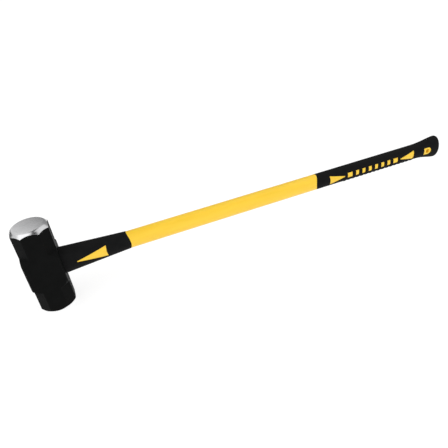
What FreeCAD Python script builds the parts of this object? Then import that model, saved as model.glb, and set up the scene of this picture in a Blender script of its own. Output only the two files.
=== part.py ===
import FreeCAD, Part
import math
import os
import re
import Sketcher

# Long-handled sledgehammer: a forged head bonded with resin to a glass-fibre rod, which carries a
# moulded jacket, an overstrike guard behind the head and a rubber grip. The head is almost square
# round the eye, and its corners are cut back to an octagon towards both faces.
#
# Row frame: +Z up the head, +X along the handle, and the origin at the centre of the lower
# striking face. Each piece is drawn about the middle of the head, where the handle's axis crosses
# it, and its Placement lifts it by half the head's length.

# Driving dimensions, in millimetres.
DIMENSIONS = {
    # Head
    "head_length": 168,
    "head_flats": 60.5,
    "face_diameter": 54,
    "face_rim_radius": 7,
    "head_edge_radius": 1.5,
    "break_slope": 1.1,
    "octagon_flat_width": 29,
    "block_flat_width": 54.8,
    "block_length": 71.6,
    "block_shoulder_radius": 14,
    "eye_lip": 1.2,
    "eye_waist_height": 32,
    "eye_waist_width": 23,
    "eye_mouth_height": 40,
    "eye_mouth_width": 24.6,
    "resin_recess": 1.5,
    # Rod and jacket
    "core_diameter": 22,
    "core_end": 818,
    "shaft_diameter": 32.3,
    "seat_diameter": 26.4,
    "jacket_end": 858,
    "jacket_end_edge": 3,
    # Overstrike guard, a tall oval at the head that narrows almost to a circle at its far end
    "guard_root_height": 52.6,
    "guard_root_width": 36,
    "guard_tail_height": 32.6,
    "guard_tail_width": 32.6,
    "guard_end": 151.8,
    "guard_end_radius": 38,
    # Grip, with a pommel that is tall and flat-sided
    "grip_start": 543.4,
    "grip_start_radius": 23.5,
    "grip_end": 870.5,
    "grip_height": 32.4,
    "grip_width": 32.4,
    "flare_start": 797,
    "pommel_height": 50.6,
    "pommel_drop": 1.2,
    "pommel_edge": 8.5,
    # Ribs across the underside of the grip
    "rib_start": 617,
    "rib_pitch": 11.1,
    "rib_count": 17,
    "rib_width": 7.5,
    "rib_height": 1.1,
    # Raised marks of the jacket that fill the windows of the guard and the grip
    "window_recess": 0.4,
    "window_depth": 44,
    "span_height": 38,
    "arrow_tip_height": 2,
    "guard_arrow_tip": 54.3,
    "guard_arrow_tip_drop": 1.8,
    "guard_arrow_base": 108.2,
    "guard_arrow_notch": 106.7,
    "guard_arrow_rise": 11.4,
    "guard_arrow_drop": 11,
    "grip_window_rise": 0.6,
    "front_arrow_base": 576.5,
    "front_arrow_tip": 613.2,
    "rear_arrow_tip": 757.5,
    "rear_arrow_upper_corner": 795.5,
    "rear_arrow_lower_corner": 793.5,
    "grip_arrow_height": 18.8,
    "bar_height": 10.9,
    "wide_bar_width": 12,
    "front_wide_bar": 619.9,
    "rear_wide_bar": 738.5,
    "narrow_bar_width": 7.7,
    "narrow_bar_start": 640.7,
    "narrow_bar_pitch": 16.36,
    "narrow_bar_count": 6,
    # Hang hole and the rounded mark round it
    "hang_mark_start": 823.9,
    "hang_mark_end": 843,
    "hang_mark_height": 15.6,
    "hang_hole_centre": 833.4,
    "hang_hole_diameter": 9,
    "hang_hole_drop": 0.6,
    # How far tools reach past what they cut
    "cut_clearance": 1,
}

# Distances from the middle of the head: to the mouth of the eye, and, towards a corner, to the long
# facets of the octagon and to the narrow ones of the block round the eye.
EYE_MOUTH = "head_flats / 2"
OCTAGON_CORNER = "(head_flats + octagon_flat_width) / 2 / sqrt(2)"
BLOCK_CORNER = "(head_flats + block_flat_width) / 2 / sqrt(2)"

# How close an edge has to lie to a face of its piece to be picked for rounding.
TOUCH = 0.1

# The pommel's flare is lofted through this many steps, and widens along a cosine that starts slowly.
FLARE_STEPS = 7
FLARE_SLOWNESS = 1.25

doc = FreeCAD.newDocument("sledgehammer")
sheet = doc.addObject("Spreadsheet::Sheet", "Dimensions")
for row, (alias, number) in enumerate(DIMENSIONS.items(), start=1):
    sheet.set(f"A{row}", alias)
    sheet.set(f"B{row}", str(number))
    sheet.setAlias(f"B{row}", alias)
doc.recompute()


def size(formula):
    """Value in millimetres of a formula written with the sheet's aliases."""
    return sheet.evalExpression(formula)


def bind(target, path, formula):
    """Tie one property or constraint to a formula of the sheet's aliases, each of several words."""
    target.setExpression(path, re.sub(r"\b([a-z]+_[a-z_]+)\b", r"Dimensions.\1", formula))


def lift(target):
    """Raise a piece drawn about the middle of the head to stand on its lower striking face."""
    bind(target, "Placement.Base.z", "head_length / 2")


# Sketches


def new_body(label):
    body = doc.addObject("PartDesign::Body", label)
    body.Label = label
    return body


def origin_feature(body, role):
    return next(item for item in body.Origin.OriginFeatures if item.Role == role)


def new_sketch(body, name, plane, along="0", up="0"):
    """Sketch on an origin plane, moved along its normal and up its own vertical axis."""
    sketch = body.newObject("Sketcher::SketchObject", name)
    sketch.AttachmentSupport = [(origin_feature(body, plane), "")]
    sketch.MapMode = "FlatFace"
    bind(sketch, "AttachmentOffset.Base.z", along)
    bind(sketch, "AttachmentOffset.Base.y", up)
    return sketch


def dimension(sketch, kind, *where, formula):
    """Add one driving constraint and tie it to the sheet."""
    index = sketch.addConstraint(Sketcher.Constraint(kind, *where, size(formula)))
    bind(sketch, f"Constraints[{index}]", formula)


def pin_point(sketch, edge, end, across, up):
    """Hold one end of an edge at a place measured from the sketch's origin."""
    dimension(sketch, "DistanceX", -1, 1, edge, end, formula=across)
    dimension(sketch, "DistanceY", -1, 1, edge, end, formula=up)


def add_line(sketch, start, end):
    return sketch.addGeometry(Part.LineSegment(start, end), False)


def add_arc(sketch, centre, radius, first, last):
    circle = Part.Circle(centre, FreeCAD.Vector(0, 0, 1), radius)
    return sketch.addGeometry(Part.ArcOfCircle(circle, first, last), False)


def polygon(sketch, corners):
    """Closed outline through corners, each a pair of formulas."""
    points = [FreeCAD.Vector(size(across), size(up), 0) for across, up in corners]
    edges = []
    for number, point in enumerate(points):
        edges.append(add_line(sketch, point, points[(number + 1) % len(points)]))
    for number, edge in enumerate(edges):
        following = edges[(number + 1) % len(edges)]
        sketch.addConstraint(Sketcher.Constraint("Coincident", edge, 2, following, 1))
        pin_point(sketch, edge, 1, *corners[number])


def circle(sketch, diameter):
    """Circle about the sketch's origin."""
    ring = Part.Circle(FreeCAD.Vector(0, 0, 0), FreeCAD.Vector(0, 0, 1), size(diameter) / 2)
    edge = sketch.addGeometry(ring, False)
    sketch.addConstraint(Sketcher.Constraint("Coincident", edge, 3, -1, 1))
    dimension(sketch, "Diameter", edge, formula=diameter)


def oval(sketch, height, width):
    """Upright ellipse about the sketch's origin; the height is its longer axis."""
    top = FreeCAD.Vector(0, size(height) / 2, 0)
    side = FreeCAD.Vector(size(width) / 2, 0, 0)
    edge = sketch.addGeometry(Part.Ellipse(top, side, FreeCAD.Vector(0, 0, 0)), False)
    sketch.exposeInternalGeometry(edge)
    major_axis = edge + 1
    minor_axis = edge + 2
    sketch.addConstraint(Sketcher.Constraint("Coincident", edge, 3, -1, 1))
    sketch.addConstraint(Sketcher.Constraint("Vertical", major_axis))
    dimension(sketch, "Distance", major_axis, formula=height)
    dimension(sketch, "Distance", minor_axis, formula=width)


def upright_slot(sketch, length, width):
    """Slot with round ends, standing up about the sketch's origin."""
    radius = size(width) / 2
    reach = size(length) / 2 - radius
    right = add_line(sketch, FreeCAD.Vector(radius, -reach, 0), FreeCAD.Vector(radius, reach, 0))
    top = add_arc(sketch, FreeCAD.Vector(0, reach, 0), radius, 0, math.pi)
    left = add_line(sketch, FreeCAD.Vector(-radius, reach, 0), FreeCAD.Vector(-radius, -reach, 0))
    bottom = add_arc(sketch, FreeCAD.Vector(0, -reach, 0), radius, math.pi, 2 * math.pi)
    for edge, following in ((right, top), (top, left), (left, bottom), (bottom, right)):
        sketch.addConstraint(Sketcher.Constraint("Tangent", edge, 2, following, 1))
    sketch.addConstraint(Sketcher.Constraint("Symmetric", top, 3, bottom, 3, -1, 1))
    dimension(sketch, "DistanceX", -1, 1, top, 3, formula="0")
    dimension(sketch, "Radius", top, formula=f"({width}) / 2")
    dimension(sketch, "DistanceY", -1, 1, top, 3, formula=f"({length} - {width}) / 2")


def rounded_mark(sketch, start, end, height):
    """Outline with a straight side at its start and a half-round end."""
    radius = size(height) / 2
    turn = size(end) - radius
    foot = FreeCAD.Vector(size(start), -radius, 0)
    crown = FreeCAD.Vector(size(start), radius, 0)
    under = add_line(sketch, foot, FreeCAD.Vector(turn, -radius, 0))
    nose = add_arc(sketch, FreeCAD.Vector(turn, 0, 0), radius, -math.pi / 2, math.pi / 2)
    over = add_line(sketch, FreeCAD.Vector(turn, radius, 0), crown)
    back = add_line(sketch, crown, foot)
    sketch.addConstraint(Sketcher.Constraint("Tangent", under, 2, nose, 1))
    sketch.addConstraint(Sketcher.Constraint("Tangent", nose, 2, over, 1))
    sketch.addConstraint(Sketcher.Constraint("Coincident", over, 2, back, 1))
    sketch.addConstraint(Sketcher.Constraint("Coincident", back, 2, under, 1))
    pin_point(sketch, under, 1, start, f"-({height}) / 2")
    pin_point(sketch, nose, 3, f"{end} - {height} / 2", "0")
    sketch.addConstraint(Sketcher.Constraint("Vertical", back))


# Features


def pad(body, sketch, length, both_ways=False):
    feature = body.newObject("PartDesign::Pad", f"{sketch.Name}_pad")
    feature.Profile = sketch
    feature.SideType = "Symmetric" if both_ways else "One side"
    bind(feature, "Length", length)
    return feature


def loft(body, kind, sections, straight):
    """Loft through sketches; straight rules it from each section to the next."""
    feature = body.newObject(f"PartDesign::{kind}", f"{sections[0].Name}_loft")
    feature.Profile = sections[0]
    feature.Sections = sections[1:]
    feature.Ruled = straight
    return feature


def revolve(body, kind, sketch, axis):
    feature = body.newObject(f"PartDesign::{kind}", f"{sketch.Name}_turned")
    feature.Profile = sketch
    feature.ReferenceAxis = axis
    feature.Angle = 360
    return feature


def edges_at(shape, place):
    """Names of the edges whose middle satisfies a test on its box."""
    return [f"Edge{number}" for number, edge in enumerate(shape.Edges, start=1) if place(edge.BoundBox)]


def fillet(body, base, names, radius):
    feature = body.newObject("PartDesign::Fillet", f"{base.Name}_rounded")
    feature.Base = (base, names)
    bind(feature, "Radius", radius)
    return feature


# Head


def eye(body, kind, front, back):
    """Eye shape: an oval waist at the middle, flaring out to reach as far as the formulas say."""
    for name, way, reach in (("front", "", front), ("back", "-", back)):
        waist = new_sketch(body, f"{body.Name}_{name}_waist", "YZ_Plane")
        oval(waist, "eye_waist_height", "eye_waist_width")
        flare = f"(({reach}) / ({EYE_MOUTH}))"
        mouth = new_sketch(body, f"{body.Name}_{name}_mouth", "YZ_Plane", along=f"{way}({reach})")
        oval(
            mouth,
            f"eye_waist_height + (eye_mouth_height - eye_waist_height) * {flare}",
            f"eye_waist_width + (eye_mouth_width - eye_waist_width) * {flare}",
        )
        loft(body, kind, [waist, mouth], straight=True)
        doc.recompute()


def corner_cut(sketch, sign):
    """Outline of what is cut off a corner beyond the block's rounded shoulder, towards one face."""
    depth = f"({OCTAGON_CORNER} - ({BLOCK_CORNER}) + block_shoulder_radius)"
    rise = f"sqrt(block_shoulder_radius ^ 2 - {depth} ^ 2)"
    turn = f"(block_length / 2 - {rise})"
    clear = "(head_length / 2 + cut_clearance)"
    outer = f"{BLOCK_CORNER} + cut_clearance"
    corners = [
        (OCTAGON_CORNER, f"{sign}block_length / 2"),
        (OCTAGON_CORNER, f"{sign}{clear}"),
        (outer, f"{sign}{clear}"),
        (outer, f"{sign}{turn}"),
        (BLOCK_CORNER, f"{sign}{turn}"),
    ]
    points = [FreeCAD.Vector(size(across), size(up), 0) for across, up in corners]
    lines = [add_line(sketch, start, end) for start, end in zip(points, points[1:])]
    for line, following in zip(lines, lines[1:]):
        sketch.addConstraint(Sketcher.Constraint("Coincident", line, 2, following, 1))
    for line, corner in zip(lines, corners):
        pin_point(sketch, line, 1, *corner)
    pin_point(sketch, lines[-1], 2, *corners[-1])

    radius = size("block_shoulder_radius")
    centre = points[-1] - FreeCAD.Vector(radius, 0, 0)
    lean = math.atan2(points[0].y - centre.y, points[0].x - centre.x)
    shoulder = add_arc(sketch, centre, radius, min(lean, 0), max(lean, 0))
    crest_end, facet_end = (1, 2) if lean > 0 else (2, 1)
    sketch.addConstraint(Sketcher.Constraint("Coincident", shoulder, crest_end, lines[-1], 2))
    sketch.addConstraint(Sketcher.Constraint("Coincident", shoulder, facet_end, lines[0], 1))
    dimension(sketch, "Radius", shoulder, formula="block_shoulder_radius")


def make_head():
    """Square bar cut back to an octagon at both ends, with rounded face rims and the eye."""
    body = new_body("head")
    bar = new_sketch(body, "head_bar", "XY_Plane")
    near = "block_flat_width / 2"
    far = "head_flats / 2"
    turns = [(far, near), (near, far), (f"-{near}", far), (f"-{far}", near)]
    opposite = [(f"-({across})", f"-({up})") for across, up in turns]
    polygon(bar, turns + opposite)
    pad(body, bar, "head_length", both_ways=True)

    cuts = new_sketch(body, "corner_cuts", "XZ_Plane")
    diagonal = FreeCAD.Rotation(FreeCAD.Vector(0, 1, 0), 45)
    cuts.AttachmentOffset = FreeCAD.Placement(FreeCAD.Vector(), diagonal)
    for sign in ("", "-"):
        corner_cut(cuts, sign)
    pocket = body.newObject("PartDesign::Pocket", "corner_cut")
    pocket.Profile = cuts
    pocket.Type = "ThroughAll"
    pocket.SideType = "Symmetric"
    doc.recompute()
    corners = body.newObject("PartDesign::PolarPattern", "four_corners")
    corners.Originals = [pocket]
    corners.Axis = (origin_feature(body, "Z_Axis"), [""])
    corners.Angle = 360
    corners.Occurrences = 4
    body.Tip = corners
    doc.recompute()
    ends = size("head_length / 2") - TOUCH
    arrises = edges_at(corners.Shape, lambda box: box.ZMin < ends and box.ZMax > -ends)
    fillet(body, corners, arrises, "head_edge_radius")
    doc.recompute()

    breaks = new_sketch(body, "head_breaks", "XZ_Plane")
    clear = "head_length / 2 + cut_clearance"
    for sign in ("", "-"):
        outline = [
            ("face_diameter / 2 - cut_clearance / break_slope", f"{sign}({clear})"),
            ("head_flats", f"{sign}({clear})"),
            ("head_flats", f"{sign}(head_length / 2 - break_slope * (head_flats - face_diameter / 2))"),
        ]
        polygon(breaks, outline)
    revolve(body, "Groove", breaks, (breaks, ["V_Axis"]))
    doc.recompute()
    rims = edges_at(body.Tip.Shape, lambda box: box.ZMin > ends or box.ZMax < -ends)
    fillet(body, body.Tip, rims, "face_rim_radius")
    doc.recompute()

    eye(body, "SubtractiveLoft", EYE_MOUTH, EYE_MOUTH)
    outside = size(EYE_MOUTH) - TOUCH
    mouth = size("eye_mouth_width") + TOUCH
    lip = edges_at(body.Tip.Shape, lambda box: box.XMax < -outside and box.YLength < mouth)
    fillet(body, body.Tip, lip, "eye_lip")
    lift(body)
    return body


def make_eye_resin():
    """Cast resin between the rod and the wall of the eye, a little below the outer mouth."""
    body = new_body("eye_resin")
    eye(body, "AdditiveLoft", EYE_MOUTH, f"{EYE_MOUTH} - resin_recess")
    passage = new_sketch(body, "resin_passage", "YZ_Plane")
    circle(passage, "core_diameter")
    cut = body.newObject("PartDesign::Pocket", "resin_passage_cut")
    cut.Profile = passage
    cut.Type = "ThroughAll"
    cut.SideType = "Symmetric"
    lift(body)
    return body


# Handle


def make_core():
    """Solid glass-fibre rod from the resin's outer face to short of the hang hole."""
    body = new_body("fibreglass_core")
    start = f"resin_recess - ({EYE_MOUTH})"
    section = new_sketch(body, "core_section", "YZ_Plane", along=start)
    circle(section, "core_diameter")
    pad(body, section, f"core_end - ({start})")
    lift(body)
    return body


def make_jacket_seat():
    """Turned inner part of the jacket, at the smaller diameter that the sleeves sit on."""
    body = new_body("jacket_seat")
    profile = new_sketch(body, "seat_profile", "XZ_Plane")
    seat = "seat_diameter / 2"
    polygon(profile, [(EYE_MOUTH, "0"), (EYE_MOUTH, seat), ("jacket_end", seat), ("jacket_end", "0")])
    turned = revolve(body, "Revolution", profile, (profile, ["H_Axis"]))
    doc.recompute()
    end = size("jacket_end") - TOUCH
    fillet(body, turned, edges_at(turned.Shape, lambda box: box.XMin > end), "jacket_end_edge")
    return body


def make_bare_shaft():
    """Cylinder of the shaft's full diameter, which the span between the sleeves is taken from."""
    shaft = doc.addObject("Part::Cylinder", "bare_shaft")
    bind(shaft, "Radius", "shaft_diameter / 2")
    bind(shaft, "Height", "grip_start + grip_start_radius - guard_end + guard_end_radius")
    bind(shaft, "Placement.Base.x", "guard_end - guard_end_radius")
    shaft.Placement.Rotation = FreeCAD.Rotation(FreeCAD.Vector(0, 1, 0), 90)
    return shaft


def make_span():
    """Prism between the sleeves, hollowed at each end by the rounded tongue of a sleeve."""
    body = new_body("span")
    sketch = new_sketch(body, "span_outline", "XZ_Plane")
    half = "span_height / 2"
    reach = size(half)
    ends = []
    for tip, radius, way in (("guard_end", "guard_end_radius", 1), ("grip_start", "grip_start_radius", -1)):
        bow = size(radius)
        centre = FreeCAD.Vector(size(tip) - way * bow, 0, 0)
        lean = math.asin(reach / bow)
        first, last = (-lean, lean) if way > 0 else (math.pi - lean, math.pi + lean)
        edge = add_arc(sketch, centre, bow, first, last)
        dimension(sketch, "Radius", edge, formula=radius)
        pin_point(sketch, edge, 3, f"{tip} - {way} * {radius}", "0")
        ends.append(edge)
    guard_side, grip_side = ends
    corners = []
    for edge, end in ((guard_side, 1), (guard_side, 2), (grip_side, 1), (grip_side, 2)):
        corners.append(sketch.getPoint(edge, end))
    top = add_line(sketch, corners[1], corners[2])
    bottom = add_line(sketch, corners[3], corners[0])
    for edge, end, line, start in (
        (guard_side, 2, top, 1),
        (top, 2, grip_side, 1),
        (grip_side, 2, bottom, 1),
        (bottom, 2, guard_side, 1),
    ):
        sketch.addConstraint(Sketcher.Constraint("Coincident", edge, end, line, start))
    for line, formula in ((top, half), (bottom, f"-({half})")):
        sketch.addConstraint(Sketcher.Constraint("Horizontal", line))
        dimension(sketch, "DistanceY", -1, 1, line, 1, formula=formula)
    pad(body, sketch, "window_depth", both_ways=True)
    return body


def guard_form(label, inset):
    """Outside of the guard, or of the marks in it when inset: a straight taper between two ovals."""
    body = new_body(label)
    root = new_sketch(body, f"{label}_root", "YZ_Plane", along=EYE_MOUTH)
    oval(root, f"guard_root_height - 2 * {inset}", f"guard_root_width - 2 * {inset}")
    tail = new_sketch(body, f"{label}_tail", "YZ_Plane", along="guard_end")
    oval(tail, f"guard_tail_height - 2 * {inset}", f"guard_tail_width - 2 * {inset}")
    loft(body, "AdditiveLoft", [root, tail], straight=True)
    return body


def flare_share(step):
    """Share of the pommel's widening reached at a step of the flare, from 0 to 1."""
    way = (step / FLARE_STEPS) ** FLARE_SLOWNESS
    return (1 - math.cos(math.pi * way)) / 2


def grip_form(label, inset):
    """Outside of the grip, or of the marks in it when inset: a straight oval that flares at its end."""
    body = new_body(label)
    height = f"grip_height - 2 * {inset}"
    width = f"grip_width - 2 * {inset}"
    start = new_sketch(body, f"{label}_start", "YZ_Plane", along="grip_start")
    oval(start, height, width)
    pad(body, start, "flare_start - grip_start")
    sections = []
    for step in range(FLARE_STEPS + 1):
        place = f"flare_start + (grip_end - flare_start) * {step} / {FLARE_STEPS}"
        share = flare_share(step)
        drop = f"-pommel_drop * {share:.6f}"
        section = new_sketch(body, f"{label}_flare_{step}", "YZ_Plane", along=place, up=drop)
        oval(section, f"{height} + (pommel_height - grip_height) * {share:.6f}", width)
        sections.append(section)
    loft(body, "AdditiveLoft", sections, straight=False)
    doc.recompute()
    return body


def make_ribs():
    """Rings set low of the grip's axis, so each stands out below and fades out at the sides."""
    body = new_body("grip_ribs")
    profile = new_sketch(body, "rib_profile", "XZ_Plane", up="-rib_height")
    crest = size("grip_height / 2")
    middle = size("rib_start")
    half = size("rib_width / 2")
    shoulder = crest - size("rib_height")
    foot = size("seat_diameter / 2 + cut_clearance")
    corners = [
        FreeCAD.Vector(middle + half, -shoulder, 0),
        FreeCAD.Vector(middle + half, -foot, 0),
        FreeCAD.Vector(middle - half, -foot, 0),
        FreeCAD.Vector(middle - half, -shoulder, 0),
    ]
    after = add_line(profile, corners[0], corners[1])
    inner = add_line(profile, corners[1], corners[2])
    before = add_line(profile, corners[2], corners[3])
    bulge = Part.Arc(corners[3], FreeCAD.Vector(middle, -crest, 0), corners[0])
    crown = profile.addGeometry(bulge, False)
    profile.addConstraint(Sketcher.Constraint("Coincident", after, 2, inner, 1))
    profile.addConstraint(Sketcher.Constraint("Coincident", inner, 2, before, 1))
    profile.addConstraint(Sketcher.Constraint("Coincident", before, 2, crown, 1))
    profile.addConstraint(Sketcher.Constraint("Coincident", crown, 2, after, 1))
    pin_point(profile, after, 1, "rib_start + rib_width / 2", "rib_height - grip_height / 2")
    pin_point(profile, inner, 1, "rib_start + rib_width / 2", "-seat_diameter / 2 - cut_clearance")
    pin_point(profile, before, 1, "rib_start - rib_width / 2", "-seat_diameter / 2 - cut_clearance")
    pin_point(profile, crown, 1, "rib_start - rib_width / 2", "rib_height - grip_height / 2")
    dimension(
        profile,
        "Radius",
        crown,
        formula="(rib_width * rib_width / 4 + rib_height * rib_height) / (2 * rib_height)",
    )
    ring = revolve(body, "Revolution", profile, (profile, ["H_Axis"]))
    doc.recompute()
    row = body.newObject("PartDesign::LinearPattern", "rib_row")
    row.Originals = [ring]
    row.Direction = (origin_feature(body, "X_Axis"), [""])
    bind(row, "Length", "rib_pitch * (rib_count - 1)")
    bind(row, "Occurrences", "rib_count")
    body.Tip = row
    return body


def make_windows():
    """Straight prisms through the handle, with the outlines of every window."""
    body = new_body("windows")

    def bar(start, width):
        edge = "bar_height / 2"
        end = f"{start} + {width}"
        return [(start, f"-{edge}"), (end, f"-{edge}"), (end, edge), (start, edge)]

    def arrow(tip, middle, lower_corner, upper_corner):
        """Arrow from its blunt tip to two corners, each a pair of formulas."""
        point = "arrow_tip_height / 2"
        return [(tip, f"{middle} - {point}"), lower_corner, upper_corner, (tip, f"{middle} + {point}")]

    def grip_arrow(tip, lower_corner, upper_corner):
        half = "grip_arrow_height / 2"
        return arrow(tip, "0", (lower_corner, f"-{half}"), (upper_corner, half))

    guard_arrow = arrow(
        "guard_arrow_tip",
        "-guard_arrow_tip_drop",
        ("guard_arrow_base", "-guard_arrow_drop"),
        ("guard_arrow_base", "guard_arrow_rise"),
    )
    guard_arrow.insert(2, ("guard_arrow_notch", "0"))
    guard_window = new_sketch(body, "guard_window", "XZ_Plane")
    polygon(guard_window, guard_arrow)

    grip_windows = new_sketch(body, "grip_windows", "XZ_Plane", up="grip_window_rise")
    polygon(grip_windows, grip_arrow("front_arrow_tip", "front_arrow_base", "front_arrow_base"))
    polygon(grip_windows, grip_arrow("rear_arrow_tip", "rear_arrow_lower_corner", "rear_arrow_upper_corner"))
    for start in ("front_wide_bar", "rear_wide_bar"):
        polygon(grip_windows, bar(start, "wide_bar_width"))
    for number in range(DIMENSIONS["narrow_bar_count"]):
        start = f"narrow_bar_start + {number} * narrow_bar_pitch"
        polygon(grip_windows, bar(start, "narrow_bar_width"))

    hang_mark = new_sketch(body, "hang_mark", "XZ_Plane", up="-hang_hole_drop")
    rounded_mark(hang_mark, "hang_mark_start", "hang_mark_end", "hang_mark_height")
    for outline in (guard_window, grip_windows, hang_mark):
        pad(body, outline, "window_depth", both_ways=True)
        doc.recompute()
    return body


def boolean(kind, name, *pieces):
    """Part boolean of earlier pieces; a cut takes a base and one tool."""
    feature = doc.addObject(f"Part::{kind}", name)
    if kind == "Cut":
        feature.Base, feature.Tool = pieces
    else:
        feature.Shapes = list(pieces)
    return feature


def make_rod_bore():
    """Blind hole along the jacket that the rod fills."""
    bore = doc.addObject("Part::Cylinder", "rod_bore")
    bind(bore, "Radius", "core_diameter / 2")
    bind(bore, "Height", "core_end")
    bore.Placement.Rotation = FreeCAD.Rotation(FreeCAD.Vector(0, 1, 0), 90)
    return bore


def make_hang_hole():
    """Round hole across the handle, through the pommel."""
    hole = doc.addObject("Part::Cylinder", "hang_hole")
    bind(hole, "Radius", "hang_hole_diameter / 2")
    bind(hole, "Height", "window_depth")
    bind(hole, "Placement.Base.x", "hang_hole_centre")
    bind(hole, "Placement.Base.y", "window_depth / 2")
    bind(hole, "Placement.Base.z", "-hang_hole_drop")
    hole.Placement.Rotation = FreeCAD.Rotation(FreeCAD.Vector(1, 0, 0), 90)
    return hole


def make_handle():
    """Jacket with its raised marks, and the two rubber sleeves that they stand in."""
    seat = make_jacket_seat()
    span = make_span()
    windows = make_windows()
    guard_outside = guard_form("guard_outside", "0")
    guard_marks = guard_form("guard_marks", "window_recess")
    grip_outside = grip_form("grip_outside", "0")
    grip_marks = grip_form("grip_marks", "window_recess")
    end = size("grip_end") - TOUCH
    rims = edges_at(grip_outside.Shape, lambda box: box.XMin > end)
    fillet(grip_outside, grip_outside.Tip, rims, "pommel_edge")
    ribs = make_ribs()
    doc.recompute()

    mark_surface = boolean("MultiFuse", "mark_surface", guard_marks, grip_marks)
    marks = boolean("MultiCommon", "marks", windows, mark_surface)
    shaft = boolean("MultiCommon", "shaft", make_bare_shaft(), span)
    blank = boolean("MultiFuse", "jacket_blank", seat, shaft, marks)
    holes = boolean("MultiFuse", "jacket_holes", make_rod_bore(), make_hang_hole())
    jacket = boolean("Cut", "handle_jacket", blank, holes)

    inside = boolean("MultiFuse", "sleeve_inside", seat, span, windows)
    guard = boolean("Cut", "overstrike_guard", guard_outside, inside)
    ribbed = boolean("MultiFuse", "ribbed_grip", grip_outside, ribs)
    grip = boolean("Cut", "grip", ribbed, inside)
    for piece in (jacket, guard, grip):
        lift(piece)
    return [jacket, guard, grip]


pieces = [make_head(), make_eye_resin(), make_core()] + make_handle()
doc.recompute()

for item in doc.Objects:
    faults = [state for state in item.State if state in ("Invalid", "Error")]
    if faults:
        raise RuntimeError(f"{item.Label} is {faults}")
for piece in pieces:
    if piece.Shape.isNull() or not piece.Shape.isValid():
        raise RuntimeError(f"{piece.Label} has no valid shape")

os.makedirs("parts", exist_ok=True)
for piece in pieces:
    piece.Shape.exportStep(f"parts/{piece.Label}.step")
    box = piece.Shape.BoundBox
    print(
        f"{piece.Label}: {len(piece.Shape.Solids)} solid, {piece.Shape.Volume / 1000:.1f} cm3, "
        f"x {box.XMin:.1f} to {box.XMax:.1f}, y {box.YMin:.1f} to {box.YMax:.1f}, "
        f"z {box.ZMin:.1f} to {box.ZMax:.1f}"
    )
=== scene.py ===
import math
import bpy
from mathutils import Matrix, Vector


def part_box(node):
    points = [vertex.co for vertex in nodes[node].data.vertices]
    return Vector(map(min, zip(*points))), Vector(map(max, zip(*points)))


# Sledgehammer looks. Metres, in the CAD frame: +Z up the head, +X along the handle, the origin at
# the centre of the lower striking face, and the floor at z = 0.
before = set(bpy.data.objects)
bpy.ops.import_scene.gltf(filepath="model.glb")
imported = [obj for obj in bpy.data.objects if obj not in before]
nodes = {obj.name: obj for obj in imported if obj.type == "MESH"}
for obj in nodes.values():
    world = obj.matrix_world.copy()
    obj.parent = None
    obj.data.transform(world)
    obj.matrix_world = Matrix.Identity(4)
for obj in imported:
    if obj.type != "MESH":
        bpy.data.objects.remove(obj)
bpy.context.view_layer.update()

MILLIMETRE = 0.001
HEAD_LOW, HEAD_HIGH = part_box("head")
HANDLE_HEIGHT = (HEAD_LOW.z + HEAD_HIGH.z) / 2
# Flat part of a striking face, inside its rounded rim.
FACE_RADIUS = 23.9 * MILLIMETRE


# Camera: a raised view from the near side, a little towards the head's end, rolled a little clockwise.

CAMERA_AIM = Vector((0.3376, 0, HANDLE_HEIGHT - 0.0315))
CAMERA_AZIMUTH = math.radians(-18.73)
CAMERA_ELEVATION = math.radians(32.12)
CAMERA_ROLL = math.radians(-7.48)
CAMERA_DISTANCE = 0.8521
# Focal length and sensor width, in millimetres.
CAMERA_LENS = 34.265
CAMERA_SENSOR = 36


def add_camera():
    """Camera that looks at its aim point from an azimuth and elevation, turned by its roll."""
    across = math.cos(CAMERA_ELEVATION)
    back = Vector((
        math.sin(CAMERA_AZIMUTH) * across,
        -math.cos(CAMERA_AZIMUTH) * across,
        math.sin(CAMERA_ELEVATION),
    ))
    level = Vector((math.cos(CAMERA_AZIMUTH), math.sin(CAMERA_AZIMUTH), 0))
    rise = back.cross(level)
    right = math.cos(CAMERA_ROLL) * level + math.sin(CAMERA_ROLL) * rise
    up = back.cross(right)
    turn = Matrix((right, up, back)).transposed().to_4x4()
    data = bpy.data.cameras.new("camera")
    data.sensor_width = CAMERA_SENSOR
    data.lens = CAMERA_LENS
    camera = bpy.data.objects.new("camera", data)
    camera.matrix_world = Matrix.Translation(CAMERA_AIM + CAMERA_DISTANCE * back) @ turn
    bpy.context.scene.collection.objects.link(camera)
    bpy.context.scene.camera = camera


# Node helpers


def new_material(name):
    """Node material with one Principled shader; returns the material, its tree and the shader."""
    material = bpy.data.materials.new(name)
    material.use_nodes = True
    tree = material.node_tree
    tree.nodes.clear()
    shader = tree.nodes.new("ShaderNodeBsdfPrincipled")
    output = tree.nodes.new("ShaderNodeOutputMaterial")
    tree.links.new(shader.outputs["BSDF"], output.inputs["Surface"])
    return material, tree, shader


def object_point(tree, scale=(1, 1, 1)):
    """Object coordinates in metres, multiplied by a scale along each axis."""
    source = tree.nodes.new("ShaderNodeTexCoord")
    mapping = tree.nodes.new("ShaderNodeMapping")
    mapping.inputs["Scale"].default_value = scale
    tree.links.new(source.outputs["Object"], mapping.inputs["Vector"])
    return mapping.outputs["Vector"]


def calculate(tree, operation, *values):
    """Math node over numbers and sockets."""
    node = tree.nodes.new("ShaderNodeMath")
    node.operation = operation
    for slot, value in zip(node.inputs, values):
        if isinstance(value, (int, float)):
            slot.default_value = value
        else:
            tree.links.new(value, slot)
    return node.outputs["Value"]


def noise(tree, point, scale, detail=4, roughness=0.5):
    """Fractal noise from 0 to 1 at a point."""
    node = tree.nodes.new("ShaderNodeTexNoise")
    node.inputs["Scale"].default_value = scale
    node.inputs["Detail"].default_value = detail
    node.inputs["Roughness"].default_value = roughness
    tree.links.new(point, node.inputs["Vector"])
    return node.outputs["Fac"]


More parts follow.
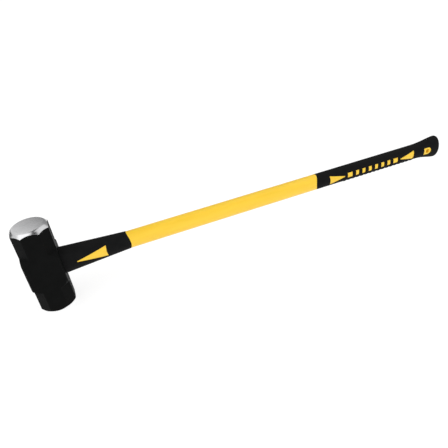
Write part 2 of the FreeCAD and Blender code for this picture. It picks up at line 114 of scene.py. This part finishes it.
def spread(tree, value, low, high, start=0, end=1, smooth=False):
    """Value mapped from the range start to end onto low to high, held at both ends."""
    node = tree.nodes.new("ShaderNodeMapRange")
    if smooth:
        node.interpolation_type = "SMOOTHSTEP"
    node.inputs["From Min"].default_value = start
    node.inputs["From Max"].default_value = end
    node.inputs["To Min"].default_value = low
    node.inputs["To Max"].default_value = high
    tree.links.new(value, node.inputs["Value"])
    return node.outputs["Result"]


def blend_colours(tree, share, first, second, start=0.0, end=1.0):
    """Colour from first, where the share is at start, to second, where it is at end."""
    ramp = tree.nodes.new("ShaderNodeValToRGB")
    low, high = ramp.color_ramp.elements
    low.position, low.color = start, (*first, 1)
    high.position, high.color = end, (*second, 1)
    tree.links.new(share, ramp.inputs["Fac"])
    return ramp.outputs["Color"]


def bump(tree, shader, height, depth, strength=1.0, under=None):
    """Surface relief of a depth in metres from a height from 0 to 1, over another relief."""
    node = tree.nodes.new("ShaderNodeBump")
    node.inputs["Strength"].default_value = strength
    node.inputs["Distance"].default_value = depth
    tree.links.new(height, node.inputs["Height"])
    if under is not None:
        tree.links.new(under, node.inputs["Normal"])
    tree.links.new(node.outputs["Normal"], shader.inputs["Normal"])
    return node.outputs["Normal"]


# Materials

# Part of the noise's range, from 0 to 1, over which a colour or a roughness changes.
NOISE_RANGE = (0.3, 0.7)
# Unpainted ends of the head: how far they reach from its end planes, and the least upward or
# downward lean of a polygon that is bare there.
BARE_ZONE = 12 * MILLIMETRE
BARE_LEAN = 0.3
# Sagitta of the faint crown ground into each striking face, and how far its marks run round it: the
# length, in metres, that one radian of a mark takes up in the noise.
FACE_CROWN = 0.7 * MILLIMETRE
GRINDING_STRETCH = 0.0012


def black_paint():
    """Black paint with very little sheen over a forged skin: orange peel over faint waves."""
    material, tree, shader = new_material("black_paint")
    point = object_point(tree)
    skin = noise(tree, point, scale=60, detail=5)
    colour = blend_colours(tree, skin, (0.0042, 0.0044, 0.0043), (0.006, 0.0062, 0.0061), *NOISE_RANGE)
    tree.links.new(colour, shader.inputs["Base Color"])
    tree.links.new(spread(tree, skin, 0.46, 0.64, *NOISE_RANGE), shader.inputs["Roughness"])
    shader.inputs["Specular IOR Level"].default_value = 0.025
    waves = noise(tree, point, scale=55, detail=3)
    wavy = bump(tree, shader, waves, depth=0.0006, strength=0.35)
    orange_peel = noise(tree, point, scale=520, detail=3)
    bump(tree, shader, orange_peel, depth=0.00014, strength=0.5, under=wavy)
    return material


def bare_steel():
    """Ground steel, slightly crowned, with long circular grinding marks and faint patches."""
    material, tree, shader = new_material("bare_steel")
    place = tree.nodes.new("ShaderNodeSeparateXYZ")
    tree.links.new(object_point(tree), place.inputs["Vector"])
    across, along = place.outputs["X"], place.outputs["Y"]
    squares = [calculate(tree, "MULTIPLY", side, side) for side in (across, along)]
    radius = calculate(tree, "SQRT", calculate(tree, "ADD", *squares))
    turn = calculate(tree, "ARCTAN2", along, across)
    ring = tree.nodes.new("ShaderNodeCombineXYZ")
    tree.links.new(radius, ring.inputs["X"])
    tree.links.new(calculate(tree, "MULTIPLY", turn, GRINDING_STRETCH), ring.inputs["Y"])
    tree.links.new(place.outputs["Z"], ring.inputs["Z"])
    marks = noise(tree, ring.outputs["Vector"], scale=1300, detail=3, roughness=0.6)
    cloud = noise(tree, object_point(tree), scale=55)
    colour = blend_colours(tree, cloud, (0.62, 0.62, 0.63), (0.69, 0.69, 0.7), *NOISE_RANGE)
    tree.links.new(colour, shader.inputs["Base Color"])
    shader.inputs["Metallic"].default_value = 1.0
    tree.links.new(spread(tree, marks, 0.17, 0.25, *NOISE_RANGE), shader.inputs["Roughness"])
    reach = calculate(tree, "MINIMUM", calculate(tree, "DIVIDE", radius, FACE_RADIUS), 1)
    crown = calculate(tree, "SUBTRACT", 1, calculate(tree, "POWER", reach, 2))
    crowned = bump(tree, shader, crown, depth=FACE_CROWN)
    bump(tree, shader, marks, depth=0.00002, strength=0.3, under=crowned)
    return material


def yellow_plastic():
    """Moulded yellow polypropylene: soft gloss, faint flow variation along the handle."""
    material, tree, shader = new_material("yellow_plastic")
    flow = noise(tree, object_point(tree, scale=(0.12, 1, 1)), scale=90)
    colour = blend_colours(tree, flow, (0.91, 0.575, 0.027), (0.965, 0.62, 0.038), *NOISE_RANGE)
    tree.links.new(colour, shader.inputs["Base Color"])
    tree.links.new(spread(tree, flow, 0.32, 0.42, *NOISE_RANGE), shader.inputs["Roughness"])
    shader.inputs["Subsurface Weight"].default_value = 0.12
    shader.inputs["Subsurface Radius"].default_value = (0.004, 0.0022, 0.0006)
    texture = noise(tree, object_point(tree), scale=1400, detail=2)
    bump(tree, shader, texture, depth=0.00003, strength=0.4)
    return material


def black_rubber():
    """Moulded black rubber with a fine matt grain."""
    material, tree, shader = new_material("black_rubber")
    point = object_point(tree)
    cloud = noise(tree, point, scale=80)
    colour = blend_colours(tree, cloud, (0.0052, 0.0053, 0.0054), (0.0086, 0.0087, 0.0089), *NOISE_RANGE)
    tree.links.new(colour, shader.inputs["Base Color"])
    tree.links.new(spread(tree, cloud, 0.6, 0.76, *NOISE_RANGE), shader.inputs["Roughness"])
    shader.inputs["Specular IOR Level"].default_value = 0.06
    grain = noise(tree, point, scale=1800, detail=2)
    bump(tree, shader, grain, depth=0.00008, strength=0.6)
    return material


def epoxy_resin():
    """Dark amber cast resin."""
    material, tree, shader = new_material("epoxy_resin")
    cloud = noise(tree, object_point(tree), scale=160, detail=3)
    colour = blend_colours(tree, cloud, (0.10, 0.06, 0.02), (0.2, 0.13, 0.05), *NOISE_RANGE)
    tree.links.new(colour, shader.inputs["Base Color"])
    shader.inputs["Roughness"].default_value = 0.22
    bump(tree, shader, cloud, depth=0.0002, strength=0.4)
    return material


def glass_fibre():
    """Sawn end of a glass-fibre rod: pale, with the dots of its bundles."""
    material, tree, shader = new_material("glass_fibre")
    bundles = tree.nodes.new("ShaderNodeTexVoronoi")
    bundles.inputs["Scale"].default_value = 900
    tree.links.new(object_point(tree, scale=(0.05, 1, 1)), bundles.inputs["Vector"])
    dots = bundles.outputs["Distance"]
    colour = blend_colours(tree, dots, (0.62, 0.57, 0.4), (0.36, 0.32, 0.2))
    tree.links.new(colour, shader.inputs["Base Color"])
    shader.inputs["Roughness"].default_value = 0.6
    bump(tree, shader, dots, depth=0.0001, strength=0.5)
    return material


def dress(node, *materials):
    """Give a CAD node its materials, in the order of their slots."""
    mesh = nodes[node].data
    mesh.materials.clear()
    for material in materials:
        mesh.materials.append(material)


def bare_the_faces():
    """Leave the paint off both striking faces and their edge breaks: what leans up or down at the ends."""
    mesh = nodes["head"].data
    for face in mesh.polygons:
        near_end = face.center.z > HEAD_HIGH.z - BARE_ZONE or face.center.z < HEAD_LOW.z + BARE_ZONE
        face.material_index = int(near_end and abs(face.normal.z) > BARE_LEAN)


rubber = black_rubber()
dress("head", black_paint(), bare_steel())
bare_the_faces()
dress("overstrike_guard", rubber)
dress("grip", rubber)
dress("handle_jacket", yellow_plastic())
dress("eye_resin", epoxy_resin())
dress("fibreglass_core", glass_fibre())


# Studio: a light tent with lighter and darker panels for the steel to reflect. A panel has a
# direction, an angular radius, the width of its soft rim and a brightness. A strip runs from one
# direction to another, and has a half-width, a rim and a brightness. Later ones lie over earlier
# ones, and the strips over the panels. Angles are in degrees.

TENT_HORIZON = 0.84
TENT_ZENITH = 0.92
TENT_PANELS = (
    ((0.37, 0.91, 0.21), 32, 13, 0.36),
    ((-0.74, 0.67, 0.04), 20, 16, 0.12),
    ((0.70, 0.12, 0.71), 24, 14, 1.02),
    ((-0.46, -0.27, 0.85), 26, 12, 1.50),
    ((0.27, -0.45, 0.85), 12, 6, 0.05),
)
TENT_STRIPS = (
    ((0.20, -0.50, 0.84), (-0.03, 0.70, 0.71), 6, 5, 0.05),
)
# Brightness of the plain backdrop, which only the camera sees.
BACKDROP = 1.0
# Floor: its glow, its grey, and the width and middle of its plane in metres.
FLOOR_GLOW = 0.75
FLOOR_COLOUR = 0.35
FLOOR_WIDTH = 40
FLOOR_MIDDLE = (0.4, 0, 0)
# Key light: its place and width in metres, and its power in watts.
KEY_PLACE = (0.35, -0.95, 1.6)
KEY_WIDTH = 1.2
KEY_POWER = 5


def add_floor():
    """White floor that glows a little, so that only a faint contact shadow is left."""
    bpy.ops.mesh.primitive_plane_add(size=FLOOR_WIDTH, location=FLOOR_MIDDLE)
    floor = bpy.context.object
    floor.name = "floor"
    material, _, shader = new_material("pale_floor")
    shader.inputs["Base Color"].default_value = (FLOOR_COLOUR, FLOOR_COLOUR, FLOOR_COLOUR, 1)
    shader.inputs["Roughness"].default_value = 1.0
    shader.inputs["Specular IOR Level"].default_value = 0.0
    shader.inputs["Emission Color"].default_value = (1, 1, 1, 1)
    shader.inputs["Emission Strength"].default_value = FLOOR_GLOW
    floor.data.materials.append(material)


def towards(tree, ray, direction):
    """Cosine of the angle between the ray and a direction."""
    node = tree.nodes.new("ShaderNodeVectorMath")
    node.operation = "DOT_PRODUCT"
    node.inputs[1].default_value = direction.normalized()
    tree.links.new(ray, node.inputs[0])
    return node.outputs["Value"]


def disc_share(tree, ray, direction, radius, rim):
    """Share of a round panel in the light from the ray: 1 inside, 0 outside."""
    outside = math.cos(math.radians(radius + rim / 2))
    inside = math.cos(math.radians(radius - rim / 2))
    return spread(tree, towards(tree, ray, direction), 0, 1, outside, inside, smooth=True)


def strip_share(tree, ray, start, end, half_width, rim):
    """Share of a strip along the great circle from start to end."""
    side = calculate(tree, "ABSOLUTE", towards(tree, ray, start.cross(end)))
    inside = math.sin(math.radians(half_width - rim / 2))
    outside = math.sin(math.radians(half_width + rim / 2))
    middle = start.normalized() + end.normalized()
    half_length = math.degrees(start.angle(end)) / 2
    band = spread(tree, side, 1, 0, inside, outside, smooth=True)
    return calculate(tree, "MULTIPLY", band, disc_share(tree, ray, middle, half_length, rim))


def add_tent():
    """World light: a tent that brightens towards its top, with a plain backdrop for the camera."""
    world = bpy.data.worlds.new("studio")
    world.use_nodes = True
    tree = world.node_tree
    ray = tree.nodes.new("ShaderNodeTexCoord").outputs["Generated"]
    split = tree.nodes.new("ShaderNodeSeparateXYZ")
    tree.links.new(ray, split.inputs["Vector"])
    light = spread(tree, split.outputs["Z"], TENT_HORIZON, TENT_ZENITH, smooth=True)
    layers = []
    for direction, radius, rim, brightness in TENT_PANELS:
        layers.append((disc_share(tree, ray, Vector(direction), radius, rim), brightness))
    for start, end, half_width, rim, brightness in TENT_STRIPS:
        share = strip_share(tree, ray, Vector(start), Vector(end), half_width, rim)
        layers.append((share, brightness))
    for share, brightness in layers:
        panel = tree.nodes.new("ShaderNodeMix")
        tree.links.new(share, panel.inputs["Factor"])
        tree.links.new(light, panel.inputs["A"])
        panel.inputs["B"].default_value = brightness
        light = panel.outputs["Result"]
    seen = tree.nodes.new("ShaderNodeMix")
    tree.links.new(tree.nodes.new("ShaderNodeLightPath").outputs["Is Camera Ray"], seen.inputs["Factor"])
    tree.links.new(light, seen.inputs["A"])
    seen.inputs["B"].default_value = BACKDROP
    background = tree.nodes["Background"]
    background.inputs["Color"].default_value = (1, 1, 1, 1)
    tree.links.new(seen.outputs["Result"], background.inputs["Strength"])
    bpy.context.scene.world = world
    bpy.context.scene.view_settings.view_transform = "Standard"


def add_key():
    """Large soft light from above the camera's side, left out of the steel's reflections."""
    data = bpy.data.lights.new("key", "AREA")
    data.shape = "SQUARE"
    data.size = KEY_WIDTH
    data.energy = KEY_POWER
    key = bpy.data.objects.new("key", data)
    key.location = KEY_PLACE
    target = Vector((KEY_PLACE[0], 0, HANDLE_HEIGHT))
    key.rotation_euler = (target - key.location).to_track_quat("-Z", "Y").to_euler()
    key.visible_glossy = False
    bpy.context.scene.collection.objects.link(key)


add_camera()
add_floor()
add_tent()
add_key()
